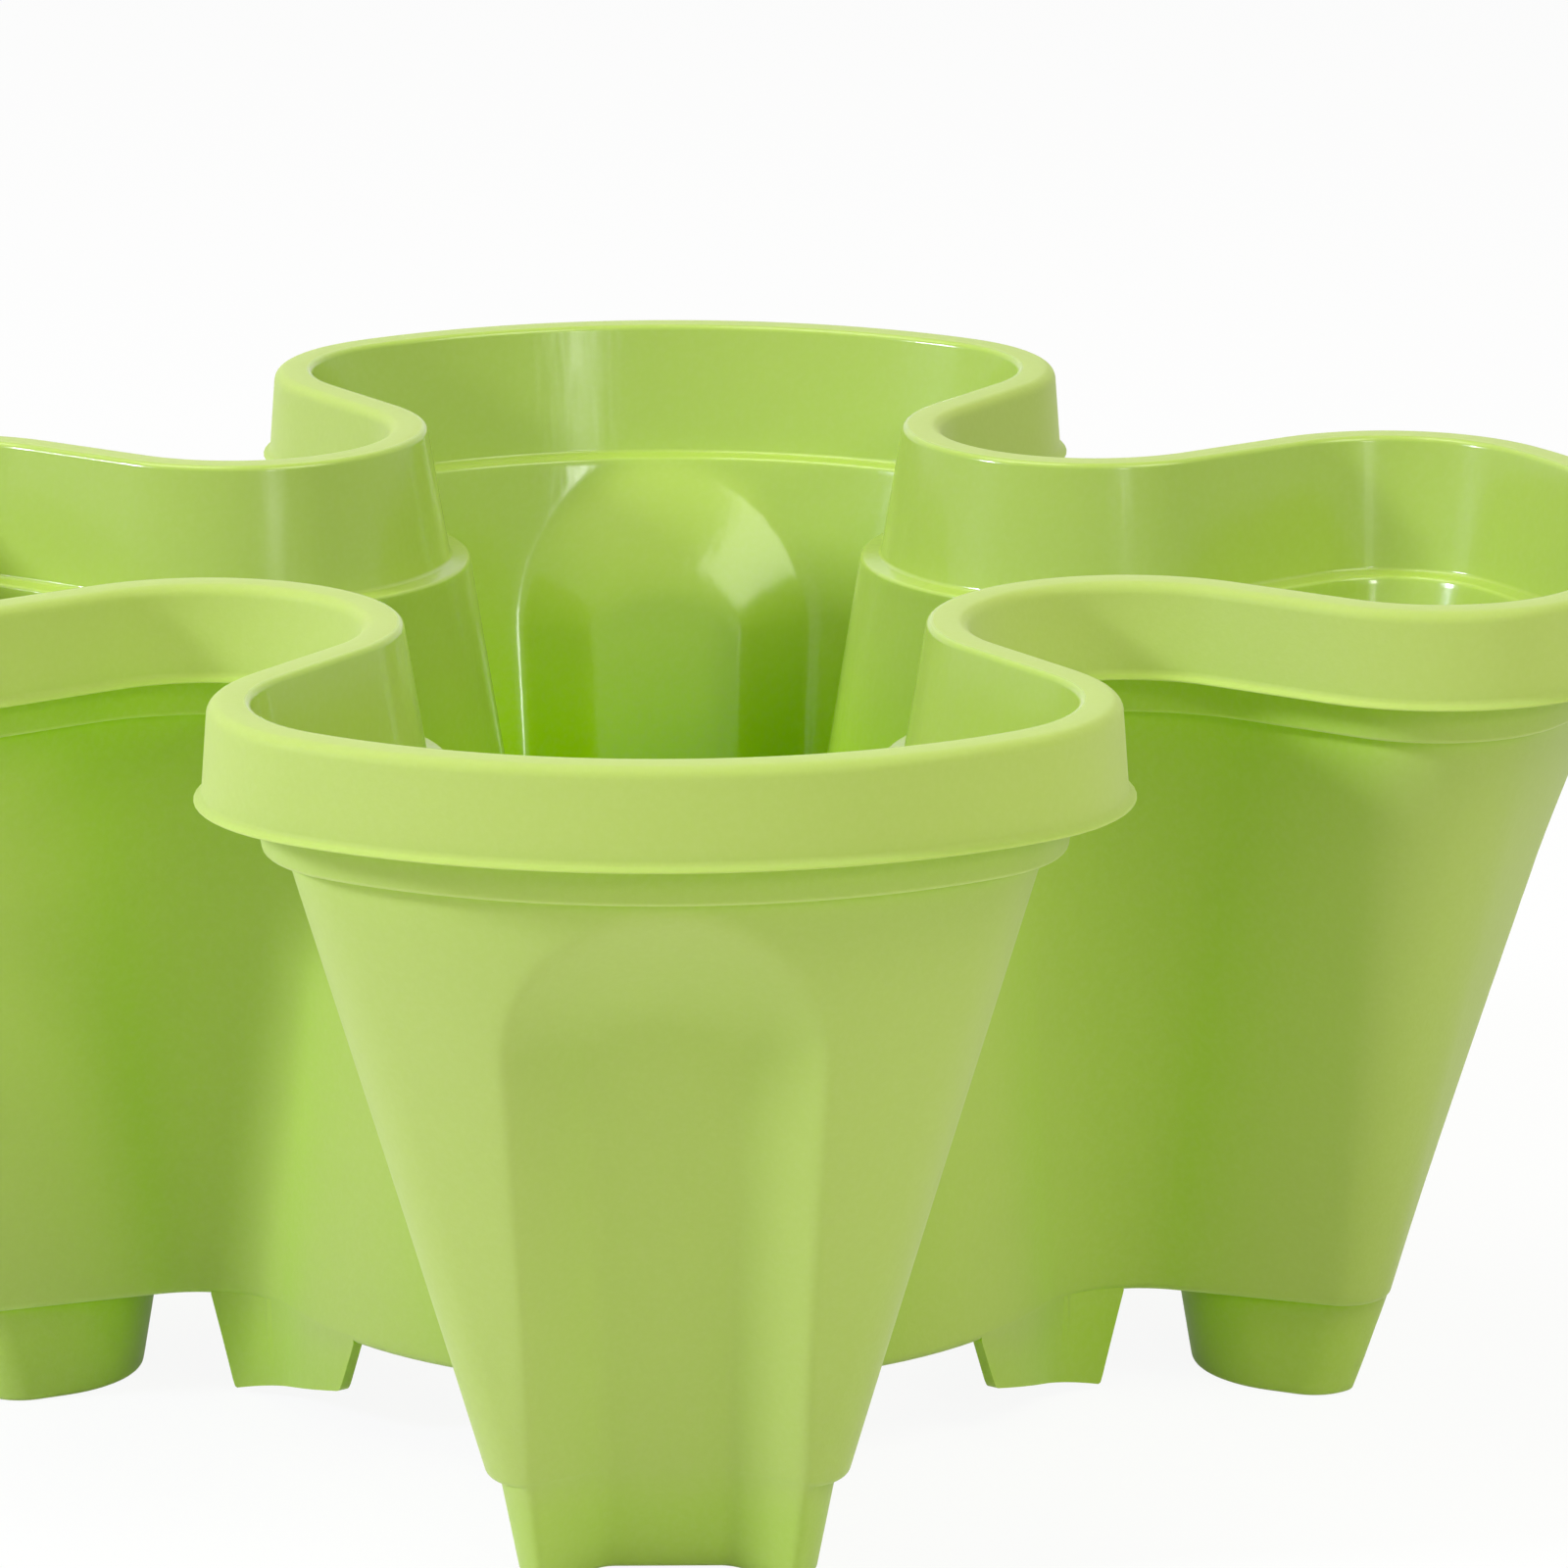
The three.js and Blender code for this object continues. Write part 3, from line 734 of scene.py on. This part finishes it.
# The pigment, how far it shifts, and the darker green of painted shade. Scales of patterns are in turns per
# metre.
LIME = (0.415, 0.53, 0.108, 1)
LIME_PALE = (0.5, 0.62, 0.2, 1)
# The darker green below is painted shade, mixed in by the shade masks further down.
LIME_PAINTED_SHADE = (0.35, 0.6, 0.002, 1)
PAINTED_SHADE_SHARE = 0.9
DRIFT_SCALE = 9
DRIFT_RANGE = (0.3, 0.7)
DRIFT_SHARE = 0.06
FLECK_SCALE = 900
FLECK_RANGE = (0.35, 0.75)
FLECK_SHARE = 0.1

# Painted shade, where the colour darkens towards that green: how far round a point other walls count, between
# which shares of openness or of the tub's height it changes, how much each place adds, and how much of it the
# rim takes away.
RECESS_SHADE_REACH = 110 * MM
RECESS_SHADE_OPENNESS = (0.22, 0.85)
NOOK_SHADE_REACH = 40 * MM
NOOK_SHADE_OPENNESS = (0.5, 1)
NOOK_SHADE_SHARE = 0.9
LOW_WALL_SHADE_LEVELS = (0, 0.75)
FEET_SHADE_LEVELS = (0.06, 0.14)
FEET_SHADE_SHARE = 0.3
RIM_SHADE_LEVELS = (0.885, 0.9)
RIM_SHADE_RELIEF_SHARE = 0.8
SOIL_SPACE_SHADE_LEVELS = (0.4, 0.8)
SOIL_SPACE_SHADE_OPENNESS = (0.1, 0.6)
SOIL_SPACE_RECESS_SHADE_SHARE = 0.1
SOIL_SPACE_SHADE_SHARE = 0.2

# The two finishes of the moulding.
GRAIN_SCALE = 1500
GRAIN_DEPTH = 0.12 * MM
GRAIN_STRENGTH = 0.25
GRAIN_SWELL_SCALE = 45
GRAIN_SWELL_SHARE = 2
ETCHED_SMEAR_SCALE = 60
ETCHED_ROUGHNESS = 0.46
ETCHED_ROUGHNESS_SPREAD = 0.1
ETCHED_SHEEN = {"Specular IOR Level": 0.1, "Sheen Weight": 0.15, "Sheen Roughness": 0.7}
WAVE_SCALE = 28
WAVE_DEPTH = 0.6 * MM
WAVE_STRENGTH = 0.25
TOOL_MARK_SCALE = 420
TOOL_MARK_DEPTH = 0.2 * MM
TOOL_MARK_STRETCH = (1, 1, 0.04)
POLISHED_SMEAR_SCALE = 35
POLISHED_ROUGHNESS = 0.12
POLISHED_ROUGHNESS_SPREAD = 0.12
POLISHED_GLOSS = {"Specular IOR Level": 0.42}
PLASTIC = {
    "IOR": 1.5,
    "Subsurface Weight": 0.3,
    "Subsurface Radius": (1, 1.3, 0.4),
    "Subsurface Scale": 1.2 * MM,
}


def closed_in(wire, reach, openness_range):
    """1 where other faces within reach close round a point, 0 where it is open."""
    settings = {"samples": 8, "only_local": True}
    openness = wire.node("ShaderNodeAmbientOcclusion", settings, {"Distance": reach}, output=1)
    return 1 - openness.within(*openness_range)


def height_in(wire):
    """Height above the ground, as a share of the tub's height."""
    return wire.node("ShaderNodeSeparateXYZ", None, {0: place_on(wire)}, output=2) / TIER_HEIGHT


def lime_colour(wire, painted_shade):
    """The colour: lime with a faint drift and pale flecks, mixed towards a darker green that is painted
    shade.
    """
    drift = noise(wire, DRIFT_SCALE, detail=2).within(*DRIFT_RANGE)
    fleck = noise(wire, FLECK_SCALE, detail=2).within(*FLECK_RANGE)
    base = (painted_shade * PAINTED_SHADE_SHARE + drift * DRIFT_SHARE).mixed(LIME, LIME_PAINTED_SHADE)
    return (fleck * FLECK_SHARE).mixed(base, LIME_PALE)


def lime_plastic(wire, painted_shade, roughness, bump, finish):
    shader = wire.node("ShaderNodeBsdfPrincipled", None, {
        "Base Color": lime_colour(wire, painted_shade),
        "Roughness": roughness,
        "Normal": bump,
        **PLASTIC,
        **finish,
    })
    wire.node("ShaderNodeOutputMaterial", None, {"Surface": shader})


def lime_outside():
    """The outside of the moulding: matte, with the fine grain of an etched mould, and painted shade in its
    hollows.
    """
    material, wire = new_material("lime_plastic_etched")
    grain = noise(wire, GRAIN_SCALE, detail=3, roughness=0.6)
    swell = noise(wire, GRAIN_SWELL_SCALE, detail=2)
    height = grain + swell * GRAIN_SWELL_SHARE
    sockets = {"Strength": GRAIN_STRENGTH, "Distance": GRAIN_DEPTH, "Height": height}
    bump = wire.node("ShaderNodeBump", None, sockets)
    roughness = ETCHED_ROUGHNESS + noise(wire, ETCHED_SMEAR_SCALE, detail=3) * ETCHED_ROUGHNESS_SPREAD
    # Painted shade: darker where walls close in, lower down, in nooks and on the feet; less on the rim's top.
    level = height_in(wire)
    low_wall_shade = 1 - level.within(*LOW_WALL_SHADE_LEVELS)
    feet = 1 - level.within(*FEET_SHADE_LEVELS)
    shade_below_rim = 1 - level.within(*RIM_SHADE_LEVELS) * RIM_SHADE_RELIEF_SHARE
    walls = closed_in(wire, RECESS_SHADE_REACH, RECESS_SHADE_OPENNESS) * (1 + low_wall_shade)
    nook_shade = closed_in(wire, NOOK_SHADE_REACH, NOOK_SHADE_OPENNESS) * NOOK_SHADE_SHARE
    painted_shade = (walls + nook_shade) * shade_below_rim + feet * FEET_SHADE_SHARE
    lime_plastic(wire, painted_shade, roughness, bump, ETCHED_SHEEN)
    return material


def lime_inside():
    """The inside of the moulding: polished, with the waves of a cooled wall, faint upright tool marks and
    painted shade.
    """
    material, wire = new_material("lime_plastic_polished")
    wave = noise(wire, WAVE_SCALE, detail=2)
    sockets = {0: place_on(wire), 1: TOOL_MARK_STRETCH}
    upright = wire.node("ShaderNodeVectorMath", {"operation": "MULTIPLY"}, sockets)
    marks = noise(wire, TOOL_MARK_SCALE, detail=1, at=upright)
    height = wave * WAVE_DEPTH + marks * TOOL_MARK_DEPTH
    sockets = {"Strength": WAVE_STRENGTH, "Distance": 1, "Height": height}
    bump = wire.node("ShaderNodeBump", None, sockets)
    roughness = POLISHED_ROUGHNESS + noise(wire, POLISHED_SMEAR_SCALE, detail=3) * POLISHED_ROUGHNESS_SPREAD
    # Painted shade: darker all over inside, more towards the bottom and where walls close in.
    depth = 1 - height_in(wire).within(*SOIL_SPACE_SHADE_LEVELS)
    walls = closed_in(wire, RECESS_SHADE_REACH, SOIL_SPACE_SHADE_OPENNESS) * SOIL_SPACE_RECESS_SHADE_SHARE
    lime_plastic(wire, depth + walls + SOIL_SPACE_SHADE_SHARE, roughness, bump, POLISHED_GLOSS)
    return material


# Camera, fitted to the photograph's outline. It looks past the middle of the rim's top.
CAMERA_LENS = 206.53
CAMERA_DISTANCE = 1496 * MM
CAMERA_AZIMUTH = math.radians(0.0441)
CAMERA_ELEVATION = math.radians(12.6723)
CAMERA_YAW = math.radians(-0.7518)
CAMERA_PITCH = math.radians(-1.6913)
CAMERA_ROLL = math.radians(0.1788)


def camera():
    back = Vector((
        math.sin(CAMERA_AZIMUTH) * math.cos(CAMERA_ELEVATION),
        -math.cos(CAMERA_AZIMUTH) * math.cos(CAMERA_ELEVATION),
        math.sin(CAMERA_ELEVATION),
    ))
    right = Vector((math.cos(CAMERA_AZIMUTH), math.sin(CAMERA_AZIMUTH), 0))
    up = back.cross(right)
    aside = Matrix.Rotation(CAMERA_YAW, 3, up) @ Matrix.Rotation(CAMERA_PITCH, 3, right)
    forward = aside @ -back
    rolled = Matrix.Rotation(CAMERA_ROLL, 3, forward) @ aside
    axes = Matrix((rolled @ right, rolled @ up, -forward)).transposed()
    made = bpy.data.objects.new("camera", bpy.data.cameras.new("camera"))
    made.data.lens = CAMERA_LENS
    bpy.context.scene.collection.objects.link(made)
    eye = Vector((0, 0, TIER_HEIGHT)) + back * CAMERA_DISTANCE
    made.matrix_world = Matrix.Translation(eye) @ axes.to_4x4()
    bpy.context.scene.camera = made


def seen_straight(wire):
    """1 for what the camera sees directly, in gloss or through clear parts, and 0 for the light itself."""
    path = wire.node("ShaderNodeLightPath")
    node = path.socket.node
    rays = [Wire(wire.tree, node.outputs[name])
            for name in ("Is Camera Ray", "Is Glossy Ray", "Is Transmission Ray")]
    return wire.maths("MINIMUM", rays[0] + rays[1] + rays[2], 1.0)


SURROUND_LIGHT = 0.28
WHITE = (1, 1, 1, 1)


def surround():
    """An even white surround that lights softly and shows as plain white."""
    world = bpy.data.worlds.new("surround")
    world.use_nodes = True
    world.node_tree.nodes.clear()
    wire = Wire(world.node_tree)
    straight = seen_straight(wire)
    strength = straight * (1 - SURROUND_LIGHT) + SURROUND_LIGHT
    glow = wire.node("ShaderNodeBackground", None, {"Color": WHITE, "Strength": strength})
    wire.node("ShaderNodeOutputWorld", None, {"Surface": glow})
    bpy.context.scene.world = world


FLOOR_SIZE = 6.0
FLOOR_DROP = 0.1 * MM
FLOOR_COLOUR = (0.9, 0.9, 0.9, 1)
FLOOR_GLOW_SHARE = 0.92


def floor():
    """A pale floor that shows nearly white and keeps the planter's shadow."""
    half = FLOOR_SIZE / 2
    mesh = bpy.data.meshes.new("floor")
    mesh.from_pydata([(-half, -half, 0), (half, -half, 0), (half, half, 0), (-half, half, 0)], [],
                     [(0, 1, 2, 3)])
    material, wire = new_material("pale_floor")
    matte = wire.node("ShaderNodeBsdfDiffuse", None, {"Color": FLOOR_COLOUR})
    glow = wire.node("ShaderNodeEmission", None, {"Color": WHITE, "Strength": 1})
    share = seen_straight(wire) * FLOOR_GLOW_SHARE
    mix = wire.node("ShaderNodeMixShader", None, {0: share, 1: matte, 2: glow})
    wire.node("ShaderNodeOutputMaterial", None, {"Surface": mix})
    mesh.materials.append(material)
    made = new_object("floor", mesh)
    made.location.z = -FLOOR_DROP


LAMP_DISTANCE = 2.2
COOL_WHITE = (0.98, 1, 1.36)
PLAIN_WHITE = (1, 1, 1)
WARM_WHITE = (1, 1, 0.82)


def softbox(name, azimuth, elevation, size, watts, colour):
    """A square lamp that faces the middle of the planter. Azimuth 0 is in front, and grows to the right."""
    lamp = bpy.data.lights.new(name, "AREA")
    lamp.color = colour
    lamp.shape = "SQUARE"
    lamp.size = size
    lamp.energy = watts
    made = new_object(name, lamp)
    a = math.radians(azimuth)
    e = math.radians(elevation)
    back = Vector((math.sin(a) * math.cos(e), -math.cos(a) * math.cos(e), math.sin(e)))
    made.location = Vector((0, 0, TIER_HEIGHT / 2)) + back * LAMP_DISTANCE
    made.rotation_euler = back.to_track_quat("Z", "Y").to_euler()


def lights():
    """A small key, a very small lamp that makes the glints inside, and two large soft lamps."""
    softbox("key_lamp", azimuth=-71, elevation=26, size=0.3, watts=27, colour=COOL_WHITE)
    softbox("glint_lamp", azimuth=21, elevation=23, size=0.2, watts=5, colour=PLAIN_WHITE)
    softbox("fill_lamp", azimuth=48, elevation=52, size=1.1, watts=21, colour=WARM_WHITE)
    softbox("top_lamp", azimuth=-100, elevation=70, size=1.2, watts=20, colour=WARM_WHITE)


camera()
surround()
floor()
lights()
lime_materials = (lime_outside(), lime_inside())
planter_tier()
drain_grid()

scene = bpy.context.scene
scene.view_settings.view_transform = "Standard"
